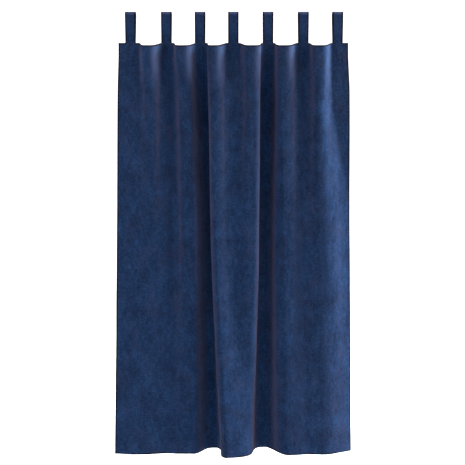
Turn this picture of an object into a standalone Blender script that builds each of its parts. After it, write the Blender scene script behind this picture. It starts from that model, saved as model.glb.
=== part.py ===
"""Tab-top velvet curtain: one panel hung in its folds, and the seven tabs that carry it.

Metres, +Z up. The front faces -Y, and +X is to the right of someone who looks at it. The origin is
the middle of the axis of the rod that the tabs hang over. The rod isn't part of the curtain.
"""

from collections import namedtuple
from math import asin, cos, pi, sin

import bpy
import numpy as np

# ---- Driving dimensions ----

OVERALL_LENGTH = 2.134      # top of the tabs to the foot of the panel, 84 inches
FLAT_WIDTH = 1.372          # the panel laid flat, 54 inches
TAB_HEIGHT = 0.151          # top of the tabs to the top edge of the panel
TAB_WIDTH = 0.051           # 2 inches
TAB_TAIL = 0.030            # how far the sewn ends of a tab reach down behind the panel
TAB_PLY = 0.0023            # one leg of a tab, the strip being sewn double
TAB_JOIN_ABOVE = 0.010      # where a tab's two legs meet, above the top edge of the panel
ROD_RADIUS = 0.014          # the rod that holds the tabs open
CLOTH = 0.002               # thickness of the panel's cloth
GAP = 0.0003                # between a tab and the panel that it is sewn to

TAB_CENTRES = (-0.495, -0.322, -0.160, 0.000, 0.167, 0.337, 0.502)

HEADING_BAND = 0.036        # the top of the panel, kept straight by its turned heading
HEADING_SAG = 0.023         # how far the top edge drops between two tabs
FOOT_RISE = 0.10            # how much the foot rises for each metre that it is set back

TAB_TOP = ROD_RADIUS + TAB_PLY
HEADING_Z = TAB_TOP - TAB_HEIGHT
FOOT_Z = TAB_TOP - OVERALL_LENGTH
PANEL_DROP = HEADING_Z - FOOT_Z
HEADING_Y = -(TAB_PLY + GAP + CLOTH / 2)    # middle of the cloth where it lies against a tab

# ---- The folds ----
# The panel is described at four stations: the heading, an upper one, the middle and the foot.
STATIONS = (HEADING_BAND, 0.24, 0.95, PANEL_DROP)   # below the top edge

LEFT_SIDE = (-0.553, -0.557, -0.561, -0.572)
RIGHT_SIDE = (0.553, 0.560, 0.566, 0.575)
LEFT_SIDE_Y = (HEADING_Y, -0.006, -0.002, 0.006)

# Each row is one turn of the cloth, left to right, with its values at the four stations. The cloth
# steps back (+) or forward (-) by `step` along the stretch `width`, and is half way at `x`. A `skew`
# above 0 puts x near the right end of the stretch, and one below 0 near the left end. `roll` tucks
# the wall of a steep turn in under its lip.
Turn = namedtuple("Turn", "name x width step skew roll")
TURNS = (
    Turn("fold 1, left", (-0.443, -0.430, -0.450, -0.520), (0.036, 0.070, 0.110, 0.090),
         (-0.040, -0.008, -0.004, -0.008), (-0.6, -0.3, 0.0, 0.0), (0.008, 0.0, 0.0, 0.0)),
    Turn("fold 1, right", (-0.362, -0.362, -0.364, -0.384), (0.060, 0.064, 0.110, 0.130),
         (0.040, 0.017, 0.011, 0.013), (0.8, 0.8, 0.2, 0.0), (0.0, 0.0, 0.0, 0.0)),
    Turn("fold 2, left", (-0.280, -0.270, -0.256, -0.272), (0.028, 0.090, 0.120, 0.130),
         (-0.040, -0.022, -0.012, -0.006), (-0.5, 1.2, 0.4, 0.0), (0.010, 0.0, 0.0, 0.0)),
    Turn("fold 2, right", (-0.197, -0.184, -0.150, -0.150), (0.055, 0.070, 0.052, 0.090),
         (0.040, 0.056, 0.072, 0.066), (0.9, 0.2, 0.0, -0.2), (0.0, 0.0, 0.0, 0.0)),
    Turn("centre fold, left", (-0.123, -0.118, -0.104, -0.060), (0.022, 0.024, 0.036, 0.050),
         (-0.040, -0.074, -0.108, -0.120), (-0.8, -0.6, -0.4, -0.4), (0.018, 0.030, 0.040, 0.034)),
    Turn("fold 3, right", (-0.051, -0.050, -0.048, 0.060), (0.064, 0.074, 0.080, 0.200),
         (0.040, 0.012, 0.020, 0.038), (0.8, 0.6, 0.0, 0.0), (0.0, 0.0, 0.0, 0.0)),
    Turn("fold 4, left", (0.045, 0.052, 0.040, 0.050), (0.048, 0.070, 0.080, 0.060),
         (-0.040, -0.011, -0.008, 0.006), (-0.8, 0.2, 0.0, 0.0), (0.0, 0.0, 0.0, 0.0)),
    Turn("centre fold, right", (0.131, 0.126, 0.121, 0.096), (0.056, 0.033, 0.030, 0.078),
         (0.040, 0.072, 0.096, 0.084), (2.0, 1.0, 0.4, 0.4), (0.018, 0.030, 0.040, 0.022)),
    Turn("fold 5, left", (0.204, 0.205, 0.194, 0.207), (0.026, 0.056, 0.096, 0.116),
         (-0.040, -0.065, -0.085, -0.091), (-0.6, 0.2, -0.1, -0.2), (0.008, 0.010, 0.004, 0.0)),
    Turn("fold 5, right", (0.288, 0.288, 0.292, 0.322), (0.062, 0.076, 0.090, 0.110),
         (0.040, 0.016, 0.011, 0.012), (0.8, 0.8, 0.2, 0.0), (0.0, 0.0, 0.0, 0.0)),
    Turn("fold 6, left", (0.373, 0.378, 0.376, 0.400), (0.031, 0.090, 0.100, 0.100),
         (-0.040, -0.023, -0.009, -0.003), (-0.6, 1.0, 0.2, 0.0), (0.008, 0.0, 0.0, 0.0)),
    Turn("fold 6, right", (0.456, 0.451, 0.512, 0.530), (0.066, 0.080, 0.190, 0.200),
         (0.040, 0.030, 0.052, 0.054), (1.4, 0.7, 0.0, 0.0), (0.0, 0.0, 0.0, 0.0)),
)

# ---- Mesh ----
COLUMNS = 120               # cells across the panel
ROWS = 16                   # cells down it
ROW_CROWDING = 1.5          # above 1, the rows lie closer together near the heading
TRACE_STEPS = 1400          # steps along a section while its turns are worked out
SCALE_HALVINGS = 24
MOST_SCALE = 3.0            # of the depth of the folds
ARC_STEPS = 14              # around the rod

VELVET = (0.015, 0.033, 0.088, 1.0)
TAB_VELVET = (0.014, 0.030, 0.080, 1.0)
VELVET_ROUGHNESS = 0.9
VELVET_SHEEN = 0.6


def at_drop(values, drop):
    """A smooth curve through the values at the stations, flat above the first one, that doesn't
    swing past them."""
    if drop <= STATIONS[0]:
        return values[0]
    rates = [(b - a) / (end - start)
             for a, b, start, end in zip(values, values[1:], STATIONS, STATIONS[1:])]
    slopes = [0.0]
    for a, b in zip(rates, rates[1:]):
        slopes.append(2 * a * b / (a + b) if a * b > 0 else 0.0)
    slopes.append(rates[-1])
    low = max(i for i in range(len(rates)) if STATIONS[i] <= drop)
    span = STATIONS[low + 1] - STATIONS[low]
    u = (drop - STATIONS[low]) / span
    return (values[low] * (1 + 2 * u) * (1 - u) ** 2 + values[low + 1] * (3 - 2 * u) * u ** 2
            + span * (slopes[low] * u * (1 - u) ** 2 - slopes[low + 1] * (1 - u) * u ** 2))


def ease(u):
    """0 to 1, level at both ends."""
    return u ** 2 * (3 - 2 * u)


def turn_shape(along, skew):
    """How far a turn has gone, 0 to 1, where `along` is counted in widths from its half-way point."""
    power = 1 + abs(skew)
    side = 1 if skew >= 0 else -1
    u = np.clip(side * along + 0.5 ** (1 / power), 0.0, 1.0)
    gone = ease(u ** power)
    return gone if side > 0 else 1 - gone


def section(drop):
    """The cloth's line at one height, seen from above: x and y at points evenly spaced along it."""
    t = np.linspace(at_drop(LEFT_SIDE, drop), at_drop(RIGHT_SIDE, drop), TRACE_STEPS + 1)
    x = t.copy()
    depth = np.zeros_like(t)
    for turn in TURNS:
        along = (t - at_drop(turn.x, drop)) / at_drop(turn.width, drop)
        gone = turn_shape(along, at_drop(turn.skew, drop))
        depth += at_drop(turn.step, drop) * gone
        x -= at_drop(turn.roll, drop) * 4 * gone * (1 - gone) * (gone - 0.5)

    def run(scale):
        return np.concatenate(([0.0], np.cumsum(np.hypot(np.diff(x), scale * np.diff(depth)))))

    low, high = 0.0, MOST_SCALE
    for _ in range(SCALE_HALVINGS):       # the cloth doesn't stretch, so its width sets the depth
        scale = (low + high) / 2
        if run(scale)[-1] < FLAT_WIDTH:
            low = scale
        else:
            high = scale
    length = run(scale)
    even = np.linspace(0.0, length[-1], COLUMNS + 1)
    y = at_drop(LEFT_SIDE_Y, drop) + scale * depth
    return np.interp(even, length, x), np.interp(even, length, y)


def row_drops():
    """How far below the top edge each row of the panel's mesh lies."""
    below_band = [(i / (ROWS - 1)) ** ROW_CROWDING for i in range(ROWS)]
    return [0.0] + [HEADING_BAND + (PANEL_DROP - HEADING_BAND) * share for share in below_band]


def material(name, colour):
    velvet = bpy.data.materials.new(name)
    velvet.use_nodes = True
    shader = velvet.node_tree.nodes["Principled BSDF"]
    shader.inputs["Base Color"].default_value = colour
    shader.inputs["Roughness"].default_value = VELVET_ROUGHNESS
    shader.inputs["Sheen Weight"].default_value = VELVET_SHEEN
    return velvet


def make_panel(collection, velvet):
    """A flat sheet of cells, moved onto the sections and thickened."""
    bpy.ops.mesh.primitive_grid_add(x_subdivisions=COLUMNS, y_subdivisions=ROWS, size=1.0)
    panel = bpy.context.object
    panel.name = "panel"
    move_to(panel, collection)
    drops = row_drops()
    lines = [section(drop) for drop in drops]
    heading_depth = HEADING_Y - lines[0][1]
    sag = HEADING_SAG * heading_depth / heading_depth.max()
    foot_depth = lines[-1][1] - HEADING_Y
    rise = FOOT_RISE * np.maximum(foot_depth, 0.0)
    for vertex in panel.data.vertices:
        column = round((vertex.co.x + 0.5) * COLUMNS)
        row = round((0.5 - vertex.co.y) * ROWS)
        share = drops[row] / PANEL_DROP
        z = HEADING_Z - drops[row] - sag[column] * (1 - share) + rise[column] * share
        vertex.co = (lines[row][0][column], lines[row][1][column], z)
    panel.modifiers.new("Facets", "TRIANGULATE")
    thickness = panel.modifiers.new("Cloth", "SOLIDIFY")
    thickness.thickness = CLOTH
    thickness.offset = 0.0
    thickness.use_even_offset = True
    panel.data.materials.append(velvet)
    return panel


def loop_outline(radius, end):
    """One side of a tab seen from its edge: around the rod, then along both legs to `end`.

    Points run from the front leg over the top to the back leg, and finish with those of `end`.
    """
    lean = asin(ROD_RADIUS / (-HEADING_Z - TAB_JOIN_ABOVE))
    points = []
    for i in range(ARC_STEPS + 1):
        angle = -lean + (pi + 2 * lean) * i / ARC_STEPS
        points.append((radius * cos(angle), radius * sin(angle)))
    return points + end


def make_tab(name, x, collection, velvet):
    """A loop of doubled cloth, drawn from its edge as a flat outline with a hole, and given its width."""
    join = HEADING_Z + TAB_JOIN_ABOVE
    tail = HEADING_Z - TAB_TAIL
    outer = loop_outline(ROD_RADIUS + TAB_PLY,
                         [(-TAB_PLY, join), (-TAB_PLY, tail), (TAB_PLY, tail), (TAB_PLY, join)])
    inner = loop_outline(ROD_RADIUS, [(0.0, join)])
    outline = bpy.data.curves.new(name, "CURVE")
    outline.dimensions = "2D"
    outline.fill_mode = "BOTH"
    outline.extrude = TAB_WIDTH / 2
    for points in (outer, inner):
        spline = outline.splines.new("POLY")
        spline.points.add(len(points) - 1)
        spline.use_cyclic_u = True
        for point, (across, up) in zip(spline.points, points):
            point.co = (across, up, 0.0, 1.0)
    outline.materials.append(velvet)
    tab = bpy.data.objects.new(name, outline)
    collection.objects.link(tab)
    tab.rotation_euler = (pi / 2, 0.0, pi / 2)
    tab.location = (x, 0.0, 0.0)
    return tab


def move_to(thing, collection):
    for owner in list(thing.users_collection):
        owner.objects.unlink(thing)
    collection.objects.link(thing)


def main():
    for thing in list(bpy.data.objects):
        bpy.data.objects.remove(thing, do_unlink=True)
    curtain = bpy.data.collections.new("tab_top_curtain")
    bpy.context.scene.collection.children.link(curtain)
    make_panel(curtain, material("panel_velvet", VELVET))
    tab_velvet = material("tab_velvet", TAB_VELVET)
    for i, x in enumerate(TAB_CENTRES, start=1):
        make_tab(f"tab_{i}", x, curtain, tab_velvet)


main()
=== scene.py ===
from collections import namedtuple
from math import asin, cos, pi, radians, sin

import bpy
import numpy as np
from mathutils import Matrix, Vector, noise


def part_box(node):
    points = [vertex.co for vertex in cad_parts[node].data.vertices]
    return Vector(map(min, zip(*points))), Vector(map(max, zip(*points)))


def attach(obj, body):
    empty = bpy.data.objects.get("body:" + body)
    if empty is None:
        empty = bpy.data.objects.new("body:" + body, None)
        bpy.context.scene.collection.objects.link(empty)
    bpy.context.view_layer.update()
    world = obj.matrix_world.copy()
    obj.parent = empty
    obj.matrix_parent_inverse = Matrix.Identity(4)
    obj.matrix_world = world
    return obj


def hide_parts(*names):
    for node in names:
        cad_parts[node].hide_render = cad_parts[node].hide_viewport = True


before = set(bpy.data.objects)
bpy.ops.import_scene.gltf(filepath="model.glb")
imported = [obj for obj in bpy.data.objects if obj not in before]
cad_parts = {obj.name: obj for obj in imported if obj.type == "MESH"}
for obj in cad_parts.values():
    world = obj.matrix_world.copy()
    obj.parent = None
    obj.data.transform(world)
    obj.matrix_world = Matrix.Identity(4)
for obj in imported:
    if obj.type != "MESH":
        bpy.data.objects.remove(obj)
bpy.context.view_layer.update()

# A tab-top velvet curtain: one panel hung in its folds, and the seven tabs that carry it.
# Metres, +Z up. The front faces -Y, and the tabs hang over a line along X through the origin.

# ---- Sizes taken from the frame ----

PANEL_LOW, PANEL_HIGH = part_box("panel")
TABS = sorted(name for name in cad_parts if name.startswith("tab_"))
TAB_LOW, TAB_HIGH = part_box(TABS[0])

HEADING_Z = PANEL_HIGH.z
FOOT_Z = PANEL_LOW.z
PANEL_DROP = HEADING_Z - FOOT_Z
TAB_TOP = TAB_HIGH.z
TAB_TAIL_Z = TAB_LOW.z
TAB_WIDTH = TAB_HIGH.x - TAB_LOW.x
TAB_CENTRES = [(low.x + high.x) / 2 for low, high in map(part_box, TABS)]

# ---- Sizes of the cutting and sewing ----

FLAT_WIDTH = 1.372          # the panel laid flat
ROD_RADIUS = 0.014          # the rod that the tabs go over
TAB_PLY = TAB_TOP - ROD_RADIUS
TAB_JOIN_ABOVE = 0.010      # where a tab's two legs meet, above the top edge of the panel
SOLID_CLOTH = 0.002         # the panel's thickness in the frame
GAP = 0.0003                # between a tab and the panel that it is sewn to
HEADING_Y = -(TAB_PLY + GAP + SOLID_CLOTH / 2)
HEADING_BAND = 0.036        # the top of the panel, kept straight by its turned heading
HEADING_SAG = 0.023         # how far the top edge drops between two tabs
FOOT_RISE = 0.10            # how much the foot rises for each metre that it is set back

SIDE_HEM = 0.025
FOOT_HEM = 0.090
SINGLE = 0.0013             # one thickness of velvet, with its pile
HEADING_PLY = 0.0020        # the heading, turned and pressed thin
SIDE_HEM_PLY = 0.0029
FOOT_HEM_PLY = 0.0031
TAB_STRIP = 0.0022          # a tab's strip, sewn double and turned right side out
TAB_SEAM_SINK = 0.00025     # how far a tab is drawn in behind its rounded edges
TAB_ROUND = (0.002, 0.005)  # where that begins, in from a tab's edge, and the width it takes

# ---- The folds ----
# The panel is described at four stations: the heading, an upper one, the middle and the foot.
STATIONS = (HEADING_BAND, 0.24, 0.95, PANEL_DROP)   # below the top edge

LEFT_SIDE = (-0.553, -0.557, -0.561, -0.572)
RIGHT_SIDE = (0.553, 0.560, 0.566, 0.575)
LEFT_SIDE_Y = (HEADING_Y, -0.006, -0.002, 0.006)

# Each row is one turn of the cloth, left to right, with its values at the four stations. The cloth
# steps back (+) or forward (-) by `step` along the stretch `width`, and is half way at `x`. A
# `skew` above 0 puts x near the right end of the stretch, and one below 0 near the left end.
# `roll` tucks the wall of a steep turn in under its lip. The last two columns are painted light:
# the strength of a painted sheen line along the turn, and of a painted highlight on its slope just
# under the heading.
Turn = namedtuple("Turn", "name x width step skew roll rub press")
TURNS = (
    Turn("fold 1, left",
         x=(-0.443, -0.430, -0.450, -0.520), width=(0.036, 0.070, 0.110, 0.090),
         step=(-0.040, -0.008, -0.004, -0.008), skew=(-0.6, -0.3, 0.0, 0.0),
         roll=(0.008, 0.000, 0.000, 0.000), rub=(0.00, 0.35, 0.00, 0.00), press=0.0),
    Turn("fold 1, right",
         x=(-0.362, -0.362, -0.364, -0.384), width=(0.060, 0.064, 0.110, 0.130),
         step=(0.040, 0.017, 0.011, 0.013), skew=(0.8, 0.8, 0.2, 0.0),
         roll=(0.000, 0.000, 0.000, 0.000), rub=(0.00, 0.75, 0.05, 0.00), press=1.15),
    Turn("fold 2, left",
         x=(-0.280, -0.270, -0.256, -0.272), width=(0.028, 0.090, 0.120, 0.130),
         step=(-0.040, -0.022, -0.012, -0.006), skew=(-0.5, 1.2, 0.4, 0.0),
         roll=(0.010, 0.000, 0.000, 0.000), rub=(0.8, 0.8, 0.4, 0.0), press=0.0),
    Turn("fold 2, right",
         x=(-0.197, -0.184, -0.150, -0.150), width=(0.055, 0.070, 0.052, 0.090),
         step=(0.040, 0.056, 0.072, 0.066), skew=(0.9, 0.2, 0.0, -0.2),
         roll=(0.000, 0.000, 0.000, 0.000), rub=(0.0, 0.2, 0.0, 0.1), press=1.2),
    Turn("centre fold, left",
         x=(-0.123, -0.118, -0.104, -0.060), width=(0.022, 0.024, 0.036, 0.050),
         step=(-0.040, -0.074, -0.108, -0.120), skew=(-0.8, -0.6, -0.4, -0.4),
         roll=(0.018, 0.030, 0.040, 0.034), rub=(0.5, 0.6, 0.6, 0.4), press=0.0),
    Turn("fold 3, right",
         x=(-0.051, -0.050, -0.048, 0.060), width=(0.064, 0.074, 0.080, 0.200),
         step=(0.040, 0.012, 0.020, 0.038), skew=(0.8, 0.6, 0.0, 0.0),
         roll=(0.000, 0.000, 0.000, 0.000), rub=(0.20, 0.55, 0.20, 0.00), press=1.0),
    Turn("fold 4, left",
         x=(0.045, 0.052, 0.040, 0.050), width=(0.048, 0.070, 0.080, 0.060),
         step=(-0.040, -0.011, -0.008, 0.006), skew=(-0.8, 0.2, 0.0, 0.0),
         roll=(0.000, 0.000, 0.000, 0.000), rub=(0.5, 0.5, 0.0, 0.0), press=0.0),
    Turn("centre fold, right",
         x=(0.131, 0.126, 0.121, 0.096), width=(0.056, 0.033, 0.030, 0.078),
         step=(0.040, 0.072, 0.096, 0.084), skew=(2.0, 1.0, 0.4, 0.4),
         roll=(0.018, 0.030, 0.040, 0.022), rub=(0.8, 0.9, 1.0, 0.6), press=1.0),
    Turn("fold 5, left",
         x=(0.204, 0.205, 0.194, 0.207), width=(0.026, 0.056, 0.096, 0.116),
         step=(-0.040, -0.065, -0.085, -0.091), skew=(-0.6, 0.2, -0.1, -0.2),
         roll=(0.008, 0.010, 0.004, 0.000), rub=(0.9, 0.9, 1.1, 1.1), press=0.0),
    Turn("fold 5, right",
         x=(0.288, 0.288, 0.292, 0.322), width=(0.062, 0.076, 0.090, 0.110),
         step=(0.040, 0.016, 0.011, 0.012), skew=(0.8, 0.8, 0.2, 0.0),
         roll=(0.000, 0.000, 0.000, 0.000), rub=(0.00, 0.60, 0.15, 0.00), press=1.0),
    Turn("fold 6, left",
         x=(0.373, 0.378, 0.376, 0.400), width=(0.031, 0.090, 0.100, 0.100),
         step=(-0.040, -0.023, -0.009, -0.003), skew=(-0.6, 1.0, 0.2, 0.0),
         roll=(0.008, 0.000, 0.000, 0.000), rub=(0.90, 0.70, 0.05, 0.00), press=0.0),
    Turn("fold 6, right",
         x=(0.456, 0.451, 0.512, 0.530), width=(0.066, 0.080, 0.190, 0.200),
         step=(0.040, 0.030, 0.052, 0.054), skew=(1.4, 0.7, 0.0, 0.0),
         roll=(0.000, 0.000, 0.000, 0.000), rub=(0.30, 0.35, 0.10, 0.20), press=0.15),
)
TRACE_STEPS = 2400          # steps along a section while its turns are worked out
SCALE_HALVINGS = 24
MOST_SCALE = 3.0            # the most that the steps of one section may be deepened

# ---- Painted sheen, highlights and shade in the colour ----
SHEEN_LINE_WIDTH = (0.009, 0.009, 0.010, 0.012)    # width of a painted sheen line, at the stations
HIGHLIGHT_WIDTH = 0.020                         # width of a painted highlight streak
HIGHLIGHT_SHIFT = 0.5                           # how far that lies before the turn, in its own widths
HIGHLIGHT_FADE = (1.0, 0.1, 0.0, 0.0)           # how much of it is left at the stations
SHADE_STREAK_WIDTH = 0.024                          # width of a painted shade streak
TOP_HIGHLIGHT_FROM = 1.7                             # how far down a tab's top its painted highlight reaches, in radii of the rod

# Each streak runs down the cloth, with its place and its strength at the four stations.
Streak = namedtuple("Streak", "name x strength")
# A painted sheen line down the lip of fold 2's right turn.
PAINTED_SHEEN_LIP = Streak("fold 2, right lip", (-0.200, -0.191, -0.176, -0.160), (0.0, 0.6, 0.6, 0.3))
# Painted shade streaks, in recesses between folds and down fold 6.
PAINTED_SHADE_STREAKS = (
    Streak("between folds 1 and 2", (-0.320, -0.305, -0.303, -0.290), (0.1, 0.6, 0.4, 0.0)),
    Streak("between folds 5 and 6", (0.331, 0.331, 0.314, 0.312), (0.0, 0.35, 0.5, 0.25)),
    Streak("fold 6", (0.440, 0.440, 0.442, 0.446), (0.0, 0.0, 0.35, 0.3)),
)

# ---- Unevenness of the cloth ----
# Each kind on the panel is a height, the size of its waves across and down, and a seed.
SLACK = (0.0022, (0.055, 0.60), 3.1)        # long soft waves
CRUMPLE = (0.0012, (0.085, 0.11), 7.7)      # small hollows
PUCKER = (0.0007, (0.016, 0.05), 11.3)      # along the stitched hems
LOOSE_BELOW = 0.45          # how far below the heading the cloth hangs fully loose
PUCKER_REACH = 0.02         # how far the puckers of the foot reach below their stitches
SIDE_PUCKER = 0.6           # the puckers at the sides, as a share of those at the foot
TAB_DENTS = (0.03, 0.02)    # size of the dents in a tab, across and down
TAB_DENT = 0.00012          # and their depth
TAB_SEED = 20.0             # and their seed, to which each tab's number is added

# ---- Fineness of the meshes ----
PANEL_CELL = (0.0048, 0.0135)   # across and down
TAB_CELL = (0.0034, 0.0042)
TAB_BEND_STEPS = 40             # places on a tab's bend over the rod
RIM_TURN = tuple(radians(a) for a in (90, 62, 34, 0))   # the half-round of a cloth's edge
HEM_STEP = 0.0022               # the width over which a hem's edge drops to single cloth
HEM_LINES = (-0.5, -0.17, 0.17, 0.5)    # where lines lie across that width


# ---- The lie of the panel ----

def at_drop(values, drop):
    """A smooth curve through the values at the stations, flat above the first one, that doesn't
    swing past them."""
    if drop <= STATIONS[0]:
        return values[0]
    rates = [(b - a) / (end - start)
             for a, b, start, end in zip(values, values[1:], STATIONS, STATIONS[1:])]
    middle = [2 * a * b / (a + b) if a * b > 0 else 0.0 for a, b in zip(rates, rates[1:])]
    slopes = [0.0] + middle + rates[-1:]
    low = max(i for i in range(len(rates)) if STATIONS[i] <= drop)
    span = STATIONS[low + 1] - STATIONS[low]
    u = (drop - STATIONS[low]) / span
    return (values[low] * (1 + 2 * u) * (1 - u) ** 2 + values[low + 1] * (3 - 2 * u) * u ** 2
            + span * (slopes[low] * u * (1 - u) ** 2 - slopes[low + 1] * (1 - u) * u ** 2))


def ease(u):
    """0 to 1, level at both ends."""
    return u ** 2 * (3 - 2 * u)


def turn_shape(along, skew):
    """How far a turn has gone, 0 to 1. `along` is counted in widths from its half-way point."""
    power = 1 + abs(skew)
    side = 1 if skew >= 0 else -1
    u = np.clip(side * along + 0.5 ** (1 / power), 0.0, 1.0)
    gone = ease(u ** power)
    return gone if side > 0 else 1 - gone


def section(drop, across):
    """The cloth's line at one height, seen from above: x, y, and the strengths of its painted sheen
    lines, painted highlights and painted shade, at distances `across` the cloth."""
    t = np.linspace(at_drop(LEFT_SIDE, drop), at_drop(RIGHT_SIDE, drop), TRACE_STEPS + 1)

    def near(x, width, shift=0.0):
        """1 on a line down the cloth, fading out on both sides of it."""
        return np.exp(-((t - at_drop(x, drop)) / width + shift) ** 2)

    # Painted light, as strengths across the cloth: sheen lines, highlights under the heading, shade
    # streaks.
    sheen_line_width = at_drop(SHEEN_LINE_WIDTH, drop)
    opened = at_drop(PAINTED_SHEEN_LIP.strength, drop) * near(PAINTED_SHEEN_LIP.x, sheen_line_width)
    laid = sum(at_drop(streak.strength, drop) * near(streak.x, SHADE_STREAK_WIDTH) for streak in PAINTED_SHADE_STREAKS)
    pressed = np.zeros_like(t)
    x = t.copy()
    depth = np.zeros_like(t)
    for turn in TURNS:
        opened += at_drop(turn.rub, drop) * near(turn.x, sheen_line_width)
        pressed += turn.press * at_drop(HIGHLIGHT_FADE, drop) * near(turn.x, HIGHLIGHT_WIDTH, HIGHLIGHT_SHIFT)
        along = (t - at_drop(turn.x, drop)) / at_drop(turn.width, drop)
        gone = turn_shape(along, at_drop(turn.skew, drop))
        depth += at_drop(turn.step, drop) * gone
        x -= at_drop(turn.roll, drop) * 4 * gone * (1 - gone) * (gone - 0.5)

    def run(scale):
        return np.concatenate(([0.0], np.cumsum(np.hypot(np.diff(x), scale * np.diff(depth)))))

    low, high = 0.0, MOST_SCALE
    for _ in range(SCALE_HALVINGS):       # the cloth doesn't stretch, so its width sets the depth
        scale = (low + high) / 2
        if run(scale)[-1] < FLAT_WIDTH:
            low = scale
        else:
            high = scale
    length = run(scale)
    y = at_drop(LEFT_SIDE_Y, drop) + scale * depth
    return tuple(np.interp(across, length, values) for values in (x, y, opened, pressed, laid))


def lines(length, hems, cell, thickness):
    """Where a mesh's lines lie along one side of a cloth: the rounded rims, both sides of each
    hem's edge, and even cells between them."""
    rim = [thickness / 2 * (1 - sin(a)) for a in RIM_TURN]
    fixed = set(rim) | {length - place for place in rim}
    for hem in hems:
        fixed |= {hem + HEM_STEP * share for share in HEM_LINES}
    stops = sorted(fixed)
    filled = []
    for low, high in zip(stops, stops[1:]):
        count = max(1, round((high - low) / cell))
        filled += [low + (high - low) * i / count for i in range(count)]
    return np.array(filled + [stops[-1]])


def rim_share(places, thickness):
    """1 on the cloth, falling to 0 round its rim."""
    inward = np.minimum(places, places[-1] - places) / (thickness / 2)
    return np.where(inward < 1, np.sqrt(np.clip(1 - (1 - inward) ** 2, 0.0, 1.0)), 1.0)


def within(places, edge):
    """1 up to a hem's edge and 0 past it."""
    return 1 - ease(np.clip((places - edge) / HEM_STEP + 0.5, 0.0, 1.0))


def normals(places):
    """Which way the cloth faces at each place of a grid."""
    down = np.gradient(places, axis=0)
    across = np.gradient(places, axis=1)
    facing = np.cross(down, across)
    return facing / np.linalg.norm(facing, axis=2, keepdims=True)


def waves(across, down, size, seed):
    """Soft unevenness, about -0.5 to 0.5, with hollows about `size` across and down."""
    return np.array([[noise.noise((s / size[0], d / size[1], seed)) for s in across] for d in down])


def uneven(across, down, kind):
    """How far one kind of unevenness lifts the cloth."""
    height, size, seed = kind
    return height * waves(across, down, size, seed)


Cloth = namedtuple("Cloth", "across down middle facing half opened pressed laid joined")


def panel_cloth():
    """The panel, hung in its folds."""
    across = lines(FLAT_WIDTH, (SIDE_HEM, FLAT_WIDTH - SIDE_HEM), PANEL_CELL[0], SIDE_HEM_PLY)
    down = lines(PANEL_DROP, (HEADING_BAND, PANEL_DROP - FOOT_HEM), PANEL_CELL[1], FOOT_HEM_PLY)
    traced = np.array([section(drop, across) for drop in down])
    x, y, opened, pressed, laid = (traced[:, i] for i in range(5))
    heading_depth = HEADING_Y - y[0]
    sag = HEADING_SAG * heading_depth / heading_depth.max()
    rise = FOOT_RISE * np.maximum(y[-1] - HEADING_Y, 0.0)
    share = (down / PANEL_DROP)[:, None]
    z = HEADING_Z - down[:, None] - sag * (1 - share) + rise * share
    solid = np.stack((x, y, z), axis=2)
    facing = normals(solid)

    side = np.minimum(across, FLAT_WIDTH - across)[None, :]
    foot = (PANEL_DROP - down)[:, None]
    turned_side = within(side, SIDE_HEM)
    turned_foot = within(foot, FOOT_HEM)
    heading = within(down[:, None], HEADING_BAND) * np.ones_like(side)
    ply = SINGLE + np.maximum((SIDE_HEM_PLY - SINGLE) * turned_side,
                              (FOOT_HEM_PLY - SINGLE) * turned_foot)
    ply = ply * (1 - heading) + HEADING_PLY * heading

    loose = ease(np.clip((down - HEADING_BAND) / LOOSE_BELOW, 0.0, 1.0))[:, None]
    soft = loose * (uneven(across, down, SLACK) + uneven(across, down, CRUMPLE))
    foot_stitches = turned_foot * (1 - within(foot, FOOT_HEM - PUCKER_REACH))
    pucker = uneven(across, down, PUCKER) * (foot_stitches + turned_side * loose * SIDE_PUCKER)
    front = SOLID_CLOTH / 2 + soft + pucker
    half = ply / 2 * rim_share(across, SIDE_HEM_PLY) * rim_share(down, FOOT_HEM_PLY)[:, None]
    middle = solid + facing * (front - ply / 2)[..., None]
    joined = np.zeros(x.shape)
    for centre in TAB_CENTRES:
        joined[:, np.abs(x[0] - centre) < TAB_WIDTH / 2] = 1.0
    return Cloth(across, down, middle, facing, half, opened, pressed, laid, joined)


def tab_path():
    """The middle of a tab's strip seen from its edge, from the back tail over the rod to the front
    one: the distance along it, and y and z."""
    radius = ROD_RADIUS + TAB_PLY / 2
    join = HEADING_Z + TAB_JOIN_ABOVE
    lean = asin(ROD_RADIUS / -join)
    arc = np.linspace(-lean, pi + lean, TAB_BEND_STEPS)
    leg = TAB_PLY / 2
    y = np.concatenate(([leg, leg], radius * np.cos(arc), [-leg, -leg]))
    z = np.concatenate(([TAB_TAIL_Z, join], radius * np.sin(arc), [join, TAB_TAIL_Z]))
    length = np.concatenate(([0.0], np.cumsum(np.hypot(np.diff(y), np.diff(z)))))
    return length, y, z


def tab_cloth(centre, seed):
    """One tab, over the rod and down both sides of it."""
    length, y, z = tab_path()
    across = lines(TAB_WIDTH, (), TAB_CELL[0], TAB_STRIP)
    down = lines(length[-1], (), TAB_CELL[1], TAB_STRIP)
    path_y, path_z = np.interp(down, length, y), np.interp(down, length, z)
    shape = (len(down), len(across))
    middle = np.empty(shape + (3,))
    middle[..., 0] = centre - TAB_WIDTH / 2 + across
    middle[..., 1] = path_y[:, None]
    middle[..., 2] = path_z[:, None]
    edge = np.minimum(across, TAB_WIDTH - across)
    sink = TAB_SEAM_SINK * ease(np.clip((edge - TAB_ROUND[0]) / TAB_ROUND[1], 0.0, 1.0))
    half = TAB_STRIP / 2 - sink - TAB_DENT * np.abs(waves(across, down, TAB_DENTS, seed))
    half = half * rim_share(across, TAB_STRIP) * rim_share(down, TAB_STRIP)[:, None]
    plain = np.zeros(shape)
    # A painted highlight on the tab's top, where it bends over the rod.
    painted_top_highlight = plain + ease(np.clip((path_z - TAB_TOP) / ROD_RADIUS + TOP_HIGHLIGHT_FROM, 0.0, 1.0))[:, None]
    return Cloth(across, down, middle, normals(middle), half, plain, painted_top_highlight, plain, plain)


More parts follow.
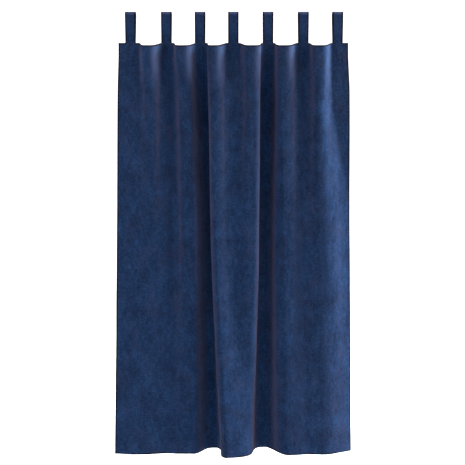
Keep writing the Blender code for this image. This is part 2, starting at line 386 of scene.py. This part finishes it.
def sheet_piece(name, cloth, finishes, reverse=None):
    """A closed mesh round a cloth, with its rims shared by both faces. `reverse` says which cells
    of the back take the second finish."""
    rows, columns = cloth.half.shape
    front = cloth.middle + cloth.facing * cloth.half[..., None]
    back = cloth.middle - cloth.facing * cloth.half[..., None]
    front_index = np.arange(rows * columns).reshape(rows, columns)
    back_index = front_index.copy()
    inside = np.arange((rows - 2) * (columns - 2)).reshape(rows - 2, columns - 2)
    back_index[1:-1, 1:-1] = rows * columns + inside
    vertices = np.concatenate((front.reshape(-1, 3), back[1:-1, 1:-1].reshape(-1, 3)))

    def cells(index, order):
        corners = (index[:-1, :-1], index[1:, :-1], index[1:, 1:], index[:-1, 1:])
        return np.stack([corners[k] for k in order], axis=2).reshape(-1, 4)

    faces = np.concatenate((cells(front_index, (0, 1, 2, 3)), cells(back_index, (3, 2, 1, 0))))
    mesh = bpy.data.meshes.new(name)
    mesh.from_pydata(vertices.tolist(), [], faces.tolist())
    mesh.shade_smooth()

    place = np.stack(np.meshgrid(cloth.across, -cloth.down), axis=2).reshape(-1, 2)
    on_cloth = np.concatenate((place[cells(front_index, (0, 1, 2, 3)).ravel()],
                               place[cells(front_index, (3, 2, 1, 0)).ravel()]))
    mesh.uv_layers.new(name="cloth").uv.foreach_set("vector", on_cloth.astype(np.float32).ravel())
    # Marks for the finishes: painted sheen, painted highlights, painted shade, and where the tabs
    # join.
    for mark in ("opened", "pressed", "laid", "joined"):
        values = getattr(cloth, mark)
        values = np.concatenate((values.ravel(), values[1:-1, 1:-1].ravel())).astype(np.float32)
        mesh.attributes.new(mark, "FLOAT", "POINT").data.foreach_set("value", values)
    for finish in finishes:
        mesh.materials.append(finish)
    if reverse is not None:
        which = np.concatenate((np.zeros(reverse.size), reverse.ravel())).astype(np.int32)
        mesh.polygons.foreach_set("material_index", which)
    piece = bpy.data.objects.new(name, mesh)
    bpy.context.scene.collection.objects.link(piece)
    return piece


def behind(cloth, across, down):
    """Places on the back of a cloth, and the way it faces there."""
    i = np.interp(down, cloth.down, np.arange(len(cloth.down)))
    j = np.interp(across, cloth.across, np.arange(len(cloth.across)))
    i0 = np.minimum(i.astype(int), len(cloth.down) - 2)
    j0 = np.minimum(j.astype(int), len(cloth.across) - 2)
    a, b = (i - i0)[:, None], (j - j0)[:, None]

    def between(grid):
        return ((1 - a) * ((1 - b) * grid[i0, j0] + b * grid[i0, j0 + 1])
                + a * ((1 - b) * grid[i0 + 1, j0] + b * grid[i0 + 1, j0 + 1]))

    return between(cloth.middle - cloth.facing * cloth.half[..., None]), between(-cloth.facing)


# ---- Finishes ----

class Wire:
    """A node's output. Ordinary sums on it add the nodes that work them out."""

    def __init__(self, nodes, socket):
        self.nodes = nodes
        self.socket = socket

    def maths(self, operation, *values):
        return self.nodes.node("ShaderNodeMath", {"operation": operation}, dict(enumerate(values)))

    def least(self, other):
        return self.maths("MINIMUM", self, other)

    def __add__(self, other):
        return self.maths("ADD", self, other)

    def __radd__(self, other):
        return self.maths("ADD", other, self)

    def __sub__(self, other):
        return self.maths("SUBTRACT", self, other)

    def __rsub__(self, other):
        return self.maths("SUBTRACT", other, self)

    def __mul__(self, other):
        return self.maths("MULTIPLY", self, other)

    def __rmul__(self, other):
        return self.maths("MULTIPLY", other, self)


class Nodes:
    """Nodes in a tree."""

    def __init__(self, tree):
        self.tree = tree
        self.tree.nodes.clear()

    def node(self, kind, settings=None, values=None, out=0):
        """Adds a node, sets it up, fills its sockets, and returns one of its outputs."""
        node = self.tree.nodes.new(kind)
        for name, value in (settings or {}).items():
            setattr(node, name, value)
        for key, value in (values or {}).items():
            if isinstance(value, Wire):
                self.tree.links.new(value.socket, node.inputs[key])
            else:
                node.inputs[key].default_value = value
        return Wire(self, node.outputs[out]) if node.outputs else None


class Finish(Nodes):
    """A material built from nodes."""

    def __init__(self, name):
        self.material = bpy.data.materials.new(name)
        self.material.use_nodes = True
        super().__init__(self.material.node_tree)

    def mix(self, factor, low, high):
        """A colour between two others."""
        return self.node("ShaderNodeMix", {"data_type": "RGBA"}, {
            0: factor, 6: low, 7: high}, out=2)

    def spread(self, value, low, high):
        """A value stretched so that low becomes 0 and high becomes 1."""
        return self.node("ShaderNodeMapRange", {"clamp": True}, {
            0: value, 1: low, 2: high, 3: 0.0, 4: 1.0})

    def mark(self, name):
        """What a mesh says about each of its points."""
        return self.node("ShaderNodeAttribute", {"attribute_name": name}, out=2)

    def cloth(self):
        """Places on the cloth as it lies flat, in metres."""
        return self.node("ShaderNodeUVMap", {"uv_map": "cloth"})

    def bump(self, strength, depth, height):
        """A relief that is `depth` metres high where the height is 1."""
        return self.node("ShaderNodeBump", {}, {
            "Strength": strength, "Distance": depth, "Height": height})

    def surface(self, **values):
        """Ends the finish in a shader, whose socket names are given with _ for spaces."""
        sockets = {name.replace("_", " "): value for name, value in values.items()}
        shader = self.node("ShaderNodeBsdfPrincipled", {}, sockets)
        self.node("ShaderNodeOutputMaterial", {}, {"Surface": shader})
        return self.material


SHEEN = (0.84, 0.67, 0.91, 1.0)
SHEEN_AND_HANDLING_PAINT = (0.033, 0.038, 0.084, 1.0)     # painted sheen along the folds, also the colour of random handled patches
HIGHLIGHT_PAINT = (0.048, 0.074, 0.172, 1.0)    # painted highlight under the heading and on the tabs' tops
EDGE_SHADE = (0.0006, 0.0030, 0.0110, 1.0)   # painted shade round an edge
EDGE_SHADE_REACH = (0.0050, 0.0090)                 # how far in the painted edge shade is full, and where it ends

PANEL_DEEP = (0.0013, 0.0107, 0.038, 1.0)
PANEL_LIGHT = (0.0170, 0.0600, 0.166, 1.0)
TAB_DEEP = (0.0013, 0.0113, 0.040, 1.0)
TAB_LIGHT = (0.0160, 0.0590, 0.170, 1.0)
REVERSE_DARK = (0.0105, 0.0190, 0.047, 1.0)
REVERSE_LIGHT = (0.030, 0.050, 0.102, 1.0)
THREAD_DARK = (0.010, 0.020, 0.052, 1.0)
THREAD_LIGHT = (0.020, 0.036, 0.084, 1.0)


def velvet(name, size, deep, light, cloudiness):
    """Cut-pile velvet of a `size` across and down: a nap that lies a little differently from place
    to place, over fine pile. Its colour also carries painted sheen lines along the folds, painted
    highlights under the heading, and painted shade in streaks and round its edges."""
    finish = Finish(name)
    cloth = finish.cloth()

    def nap(scale, detail, stretch, keep):
        """Noise on the cloth, `scale` hollows a metre, drawn out down the cloth by `stretch`. Each
        finer layer keeps a share `keep` of the strength."""
        place = finish.node("ShaderNodeMapping", {}, {
            "Vector": cloth, "Scale": (scale, scale / stretch, 1.0)})
        return finish.node("ShaderNodeTexNoise", {}, {
            "Vector": place, "Scale": 1.0, "Detail": detail, "Roughness": keep})

    clouds = finish.spread(nap(9, 2, 1.2, 0.8), 0.30, 0.70)
    brushed = finish.spread(nap(45, 2, 3.0, 0.8), 0.30, 0.70)
    grain = finish.spread(nap(58, 2, 0.42, 0.85) + nap(150, 2, 2.4, 0.85), 0.70, 1.30)
    handled = finish.spread(nap(15, 2, 1.8, 0.7), 0.50, 0.75) * 0.30
    pile = nap(1500, 1, 1.5, 0.5)

    tone = clouds * (0.34 * cloudiness) + brushed * (0.32 * cloudiness) + grain * 0.64
    tone = tone + 0.5 * (0.32 - 0.66 * cloudiness)      # the same middle, however cloudy
    tone = tone * (0.5 + tone * 0.5)                    # deeper in the dark places
    # Painted shade: streaks in the recesses between folds and down fold 6 darken the tone.
    tone = tone * (1 - finish.mark("laid"))
    # Painted sheen: lines along the folds, with random handled patches in the same colour.
    opened = finish.mark("opened") * (0.55 + brushed * 0.9) + handled
    # Painted highlights: under the heading before each turn, and on the tabs' tops.
    pressed = finish.mark("pressed") * (0.85 + brushed * 0.3)
    colour = finish.mix(opened, finish.mix(tone, deep, light), SHEEN_AND_HANDLING_PAINT)
    colour = finish.mix(pressed, colour, HIGHLIGHT_PAINT)

    across = finish.node("ShaderNodeSeparateXYZ", {}, {"Vector": cloth}, out=0)
    up = finish.node("ShaderNodeSeparateXYZ", {}, {"Vector": cloth}, out=1)
    inside = across.least(size[0] - across).least(0.0 - up).least(up + size[1])
    # Painted shade round the cloth's edges, left off in the panel's columns under the tabs.
    edge = finish.spread(inside, EDGE_SHADE_REACH[1], EDGE_SHADE_REACH[0]) * (1 - finish.mark("joined"))
    height = clouds * 3.0 + brushed * 1.0 + grain * 0.5 + pile * 0.15
    return finish.surface(
        Base_Color=finish.mix(edge, colour, EDGE_SHADE),
        Roughness=0.95 - grain * 0.10,
        Specular_IOR_Level=0.02,
        Sheen_Weight=0.13,
        Sheen_Roughness=0.6,
        Sheen_Tint=SHEEN,
        Normal=finish.bump(0.5, 0.0010, height))


def woven_reverse(name, dark, light):
    """The plain woven ground on the back of the velvet, with no pile."""
    finish = Finish(name)
    cloth = finish.cloth()

    def threads(direction):
        bands = {"wave_type": "BANDS", "bands_direction": direction}
        return finish.node("ShaderNodeTexWave", bands, {
            "Vector": cloth, "Scale": 190.0, "Distortion": 0.6, "Detail": 1.0, "Detail Scale": 0.5})

    weave = threads("X") * threads("Y")
    slubs = finish.node("ShaderNodeTexNoise", {}, {"Vector": cloth, "Scale": 90.0, "Detail": 4.0})
    tone = weave * 0.55 + slubs * 0.45
    return finish.surface(
        Base_Color=finish.mix(tone, dark, light),
        Roughness=0.86,
        Specular_IOR_Level=0.3,
        Sheen_Weight=0.12,
        Sheen_Roughness=0.5,
        Normal=finish.bump(0.6, 0.0004, tone))


def sewing_thread(name, dark, light):
    """Twisted thread, with light and dark fibres."""
    finish = Finish(name)
    place = finish.node("ShaderNodeTexCoord", out=3)
    fibre = finish.node("ShaderNodeTexNoise", {}, {"Vector": place, "Scale": 1800.0, "Detail": 2.0})
    return finish.surface(
        Base_Color=finish.mix(fibre, dark, light),
        Roughness=0.48,
        Specular_IOR_Level=0.5,
        Sheen_Weight=0.2,
        Normal=finish.bump(0.4, 0.0001, fibre))


def paper_white(name, glow):
    """The studio's white paper, bright enough to show white."""
    return Finish(name).surface(
        Base_Color=(0.9, 0.9, 0.9, 1.0),
        Roughness=0.9,
        Emission_Color=(1.0, 1.0, 1.0, 1.0),
        Emission_Strength=glow)


# ---- Stitches ----

# The tree's inputs. Stray is how far a stitch may turn from its row, in radians.
STITCH_SIZES = {
    "Pitch": 0.0034, "Length": 0.0029, "Thread": 0.00042, "Arch": 0.00038, "Stray": 0.09}
STITCH_SUNK = -0.4              # where a stitch ends in the cloth, in thicknesses of its thread
ARCH_STEPS = 4
THREAD_SIDES = 5
HEM_SEED = 3
BOX_SEED = 5

ROW_STEP = 0.004                # between the places that a row is laid through
ROW_END = 0.006                 # from the end of a row to the edge of the cloth
ROW_INSET = 0.003               # from a row to the edge of the hem that it holds
TOP_ROW = 0.004                 # below the top edge
BOX_SIDE = 0.005                # the box on a tab's tails: in from the tab's sides,
BOX_LOW = 0.004                 # up from the tails' ends,
BOX_TOP = 0.003                 # and down from the panel's top edge
BOX_STEPS = 9                   # places on each of its sides


def stitch_tree():
    """Nodes that lay a row of stitches along each line of a path, each a short arch of thread."""
    tree = bpy.data.node_groups.new("stitch_row", "GeometryNodeTree")
    nodes = Nodes(tree)
    sockets = {"Path": "Geometry", **dict.fromkeys(STITCH_SIZES, "Float"),
               "Seed": "Int", "Finish": "Material"}
    for name, kind in sockets.items():
        tree.interface.new_socket(name, in_out="INPUT", socket_type=f"NodeSocket{kind}")
    tree.interface.new_socket("Stitches", in_out="OUTPUT", socket_type="NodeSocketGeometry")
    given = {name: nodes.node("NodeGroupInput", out=name) for name in sockets}

    def point(x, z):
        return nodes.node("ShaderNodeCombineXYZ", {}, {"X": x, "Z": z})

    reach = given["Length"] * 0.5
    sunk = given["Thread"] * STITCH_SUNK
    arch = nodes.node("GeometryNodeCurveQuadraticBezier", {}, {
        "Resolution": ARCH_STEPS, "Start": point(0.0 - reach, sunk),
        "Middle": point(0.0, given["Arch"] * 2.0), "End": point(reach, sunk)})
    round_thread = nodes.node("GeometryNodeCurvePrimitiveCircle", {}, {
        "Resolution": THREAD_SIDES, "Radius": given["Thread"] * 0.5})
    stitch = nodes.node("GeometryNodeCurveToMesh", {}, {
        "Curve": arch, "Profile Curve": round_thread, "Fill Caps": True})
    stitch = nodes.node("GeometryNodeSetShadeSmooth", {}, {"Geometry": stitch})

    line = nodes.node("GeometryNodeMeshToCurve", {}, {"Mesh": given["Path"]})
    places = nodes.node("GeometryNodeCurveToPoints", {"mode": "LENGTH"}, {
        "Curve": line, "Length": given["Pitch"]})
    along = Wire(nodes, places.socket.node.outputs["Tangent"])
    out = nodes.node("GeometryNodeInputNamedAttribute", {"data_type": "FLOAT_VECTOR"}, {
        "Name": "out"})
    turn = nodes.node("FunctionNodeAlignRotationToVector", {"axis": "X"}, {"Vector": along})
    turn = nodes.node("FunctionNodeAlignRotationToVector", {"axis": "Z", "pivot_axis": "X"}, {
        "Rotation": turn, "Vector": out})
    stray = nodes.node("FunctionNodeRandomValue", {"data_type": "FLOAT"}, {
        2: 0.0 - given["Stray"], 3: given["Stray"], "Seed": given["Seed"]}, out=1)
    turn = nodes.node("FunctionNodeRotateRotation", {"rotation_space": "LOCAL"}, {
        "Rotation": turn, "Rotate By": nodes.node("ShaderNodeCombineXYZ", {}, {"Z": stray})})
    row = nodes.node("GeometryNodeInstanceOnPoints", {}, {
        "Points": places, "Instance": stitch, "Rotation": turn})
    row = nodes.node("GeometryNodeRealizeInstances", {}, {"Geometry": row})
    row = nodes.node("GeometryNodeSetMaterial", {}, {"Geometry": row, "Material": given["Finish"]})
    nodes.node("NodeGroupOutput", {}, {"Stitches": row})
    return tree


def stitches(name, tree, rows, seed, finish):
    """Stitches along rows. Each row is a pair: its places, and the way its stitches face."""
    places = [tuple(place) for row, _ in rows for place in row]
    edges = []
    start = 0
    for row, _ in rows:
        edges += [(start + i, start + i + 1) for i in range(len(row) - 1)]
        start += len(row)
    path = bpy.data.meshes.new(f"{name}_path")
    path.from_pydata(places, edges, [])
    facing = np.concatenate([np.broadcast_to(out, row.shape) for row, out in rows])
    facing = facing.astype(np.float32).ravel()
    path.attributes.new("out", "FLOAT_VECTOR", "POINT").data.foreach_set("vector", facing)
    piece = bpy.data.objects.new(name, path)
    sewn = piece.modifiers.new("Stitches", "NODES")
    sewn.node_group = tree
    values = {**STITCH_SIZES, "Seed": seed, "Finish": finish}
    for socket in tree.interface.items_tree:
        if socket.in_out == "INPUT" and socket.name in values:
            sewn[socket.identifier] = values[socket.name]
    bpy.context.scene.collection.objects.link(piece)
    evaluated = piece.evaluated_get(bpy.context.evaluated_depsgraph_get())
    made = bpy.data.meshes.new_from_object(evaluated)
    piece.modifiers.clear()
    piece.data = made
    made.name = name
    made.materials.clear()                # the nodes leave an empty slot before the thread's
    made.materials.append(finish)
    made.polygons.foreach_set("material_index", np.zeros(len(made.polygons), dtype=np.int32))
    bpy.data.meshes.remove(path)
    return piece


def hem_rows(cloth):
    """Where the hems and the heading are stitched down, on the back."""
    down = np.arange(ROW_END, PANEL_DROP - ROW_END, ROW_STEP)
    across = np.arange(ROW_END, FLAT_WIDTH - ROW_END, ROW_STEP)
    rows = [behind(cloth, np.full_like(down, place), down)
            for place in (SIDE_HEM - ROW_INSET, FLAT_WIDTH - SIDE_HEM + ROW_INSET)]
    rows += [behind(cloth, across, np.full_like(across, place))
             for place in (TOP_ROW, HEADING_BAND - ROW_INSET, PANEL_DROP - FOOT_HEM + ROW_INSET)]
    return rows


def tab_rows(centre):
    """The box that a tab is sewn down with, on the back of its tails."""
    reach = TAB_WIDTH / 2 - BOX_SIDE
    left, right = centre - reach, centre + reach
    low, high = TAB_TAIL_Z + BOX_LOW, HEADING_Z - BOX_TOP
    y = TAB_PLY - TAB_SEAM_SINK
    corners = [(left, y, low), (right, y, low), (right, y, high), (left, y, high), (left, y, low)]
    return [(np.linspace(start, end, BOX_STEPS), (0.0, 1.0, 0.0))
            for start, end in zip(corners, corners[1:])]


# ---- Studio ----

CAMERA = (-0.004, -2.988, -1.0475)      # it looks straight along +Y
LENS = 48.0                             # in millimetres, before a sensor 36 mm wide
SENSOR = 36.0
MIDDLE = (0.0, 0.0, -1.0)               # where the lamps point
SURROUND = (0.88, 0.66, 0.75, 1.0)
SURROUND_GLOW = 0.36
ROOM = 9.0                              # radius of the floor and the backdrop
FLOOR_BELOW = 0.03                      # below the foot of the panel

TALL, SQUARE, BROAD = (0.9, 2.0), (0.9, 1.2), (2.4, 2.4)
Lamp = namedtuple("Lamp", "name azimuth elevation distance size watts colour")
LAMPS = (
    Lamp("left", -60, 0, 2.8, TALL, 34.0, (0.75, 0.95, 1.0)),
    Lamp("left_high", -85, 30, 3.4, SQUARE, 44.0, (1.0, 0.63, 0.35)),
    Lamp("front_low", 0, -50, 4.76, BROAD, 83.0, (0.72, 0.98, 1.0)),
    Lamp("front_high", 55, 30, 4.76, BROAD, 77.0, (1.0, 0.78, 0.54)),
    Lamp("right", 80, 0, 3.4, TALL, 95.0, (0.95, 0.96, 0.88)),
    Lamp("right_low", 80, -30, 3.4, SQUARE, 45.0, (1.0, 0.85, 0.90)),
    Lamp("right_back", 95, 0, 3.4, TALL, 165.0, (0.60, 0.79, 0.95)),
    Lamp("right_back_high", 95, 40, 3.4, SQUARE, 184.0, (0.50, 0.94, 0.97)),
    Lamp("back", 150, 25, 4.76, BROAD, 160.0, (1.0, 0.98, 0.96)),
    Lamp("back_left", 215, 5, 4.76, BROAD, 90.0, (1.0, 0.98, 0.96)),
)


def aim(thing, place, target):
    """Puts a lamp or a camera at a place, turned towards a target."""
    thing.location = place
    thing.rotation_euler = (Vector(target) - Vector(place)).to_track_quat("-Z", "Y").to_euler()
    bpy.context.scene.collection.objects.link(thing)


def round_about(centre, azimuth, elevation, distance):
    """A place round the curtain: azimuth 0 is in front of it, and 90 is to its right."""
    turn, rise = radians(azimuth), radians(elevation)
    return (centre[0] + sin(turn) * cos(rise) * distance,
            centre[1] - cos(turn) * cos(rise) * distance,
            centre[2] + sin(rise) * distance)


def soft_light(lamp):
    light = bpy.data.lights.new(lamp.name, "AREA")
    light.shape = "RECTANGLE"
    light.size, light.size_y = lamp.size
    light.energy = lamp.watts
    light.color = lamp.colour
    place = round_about(MIDDLE, lamp.azimuth, lamp.elevation, lamp.distance)
    aim(bpy.data.objects.new(lamp.name, light), place, MIDDLE)


def studio():
    scene = bpy.context.scene
    scene.view_settings.view_transform = "Standard"

    lens = bpy.data.cameras.new("camera")
    lens.lens = LENS
    lens.sensor_width = SENSOR
    camera = bpy.data.objects.new("camera", lens)
    aim(camera, CAMERA, (CAMERA[0], 0.0, CAMERA[2]))
    scene.camera = camera

    for lamp in LAMPS:
        soft_light(lamp)
    surround = bpy.data.worlds.new("surround")
    surround.use_nodes = True
    glow = surround.node_tree.nodes["Background"].inputs
    glow["Color"].default_value = SURROUND
    glow["Strength"].default_value = SURROUND_GLOW
    scene.world = surround

    bpy.ops.mesh.primitive_circle_add(vertices=96, radius=ROOM, fill_type="NGON",
                                      location=(0.0, 0.0, FOOT_Z - FLOOR_BELOW))
    floor = bpy.context.object
    floor.name = "floor"
    bpy.ops.mesh.primitive_uv_sphere_add(segments=64, ring_count=32, radius=ROOM,
                                         location=(0.0, 0.0, FOOT_Z))
    backdrop = bpy.context.object
    backdrop.name = "backdrop"
    floor.data.materials.append(paper_white("floor_paper", 1.0))
    backdrop.data.materials.append(paper_white("backdrop_paper", 1.0))
    for paper in (floor, backdrop):
        paper.visible_diffuse = False
        paper.visible_glossy = False
        paper.visible_shadow = False


# ---- Making ----

def main():
    length = tab_path()[0][-1]
    panel_velvet = velvet("panel_pile", (FLAT_WIDTH, PANEL_DROP), PANEL_DEEP, PANEL_LIGHT, 1.0)
    tab_velvet = velvet("tab_pile", (TAB_WIDTH, length), TAB_DEEP, TAB_LIGHT, 0.7)
    reverse = woven_reverse("panel_reverse", REVERSE_DARK, REVERSE_LIGHT)

    cloth = panel_cloth()
    side = np.minimum(cloth.across, FLAT_WIDTH - cloth.across)
    cell_side = (side[1:] + side[:-1]) / 2
    cell_down = ((cloth.down[1:] + cloth.down[:-1]) / 2)[:, None]
    single = ((cell_side > SIDE_HEM) & (cell_down > HEADING_BAND)
              & (cell_down < PANEL_DROP - FOOT_HEM))
    panel = sheet_piece("velvet_panel", cloth, (panel_velvet, reverse), single)
    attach(panel, "root")
    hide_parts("panel")

    thread = sewing_thread("navy_thread", THREAD_DARK, THREAD_LIGHT)
    tree = stitch_tree()
    boxes = [row for centre in TAB_CENTRES for row in tab_rows(centre)]
    sewn = (stitches("hem_stitches", tree, hem_rows(cloth), HEM_SEED, thread),
            stitches("tab_stitches", tree, boxes, BOX_SEED, thread))
    for piece in sewn:
        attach(piece, "root")

    for number, (node, centre) in enumerate(zip(TABS, TAB_CENTRES), start=1):
        tab = sheet_piece(f"velvet_{node}", tab_cloth(centre, TAB_SEED + number), (tab_velvet,))
        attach(tab, "root")
        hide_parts(node)

    studio()


main()
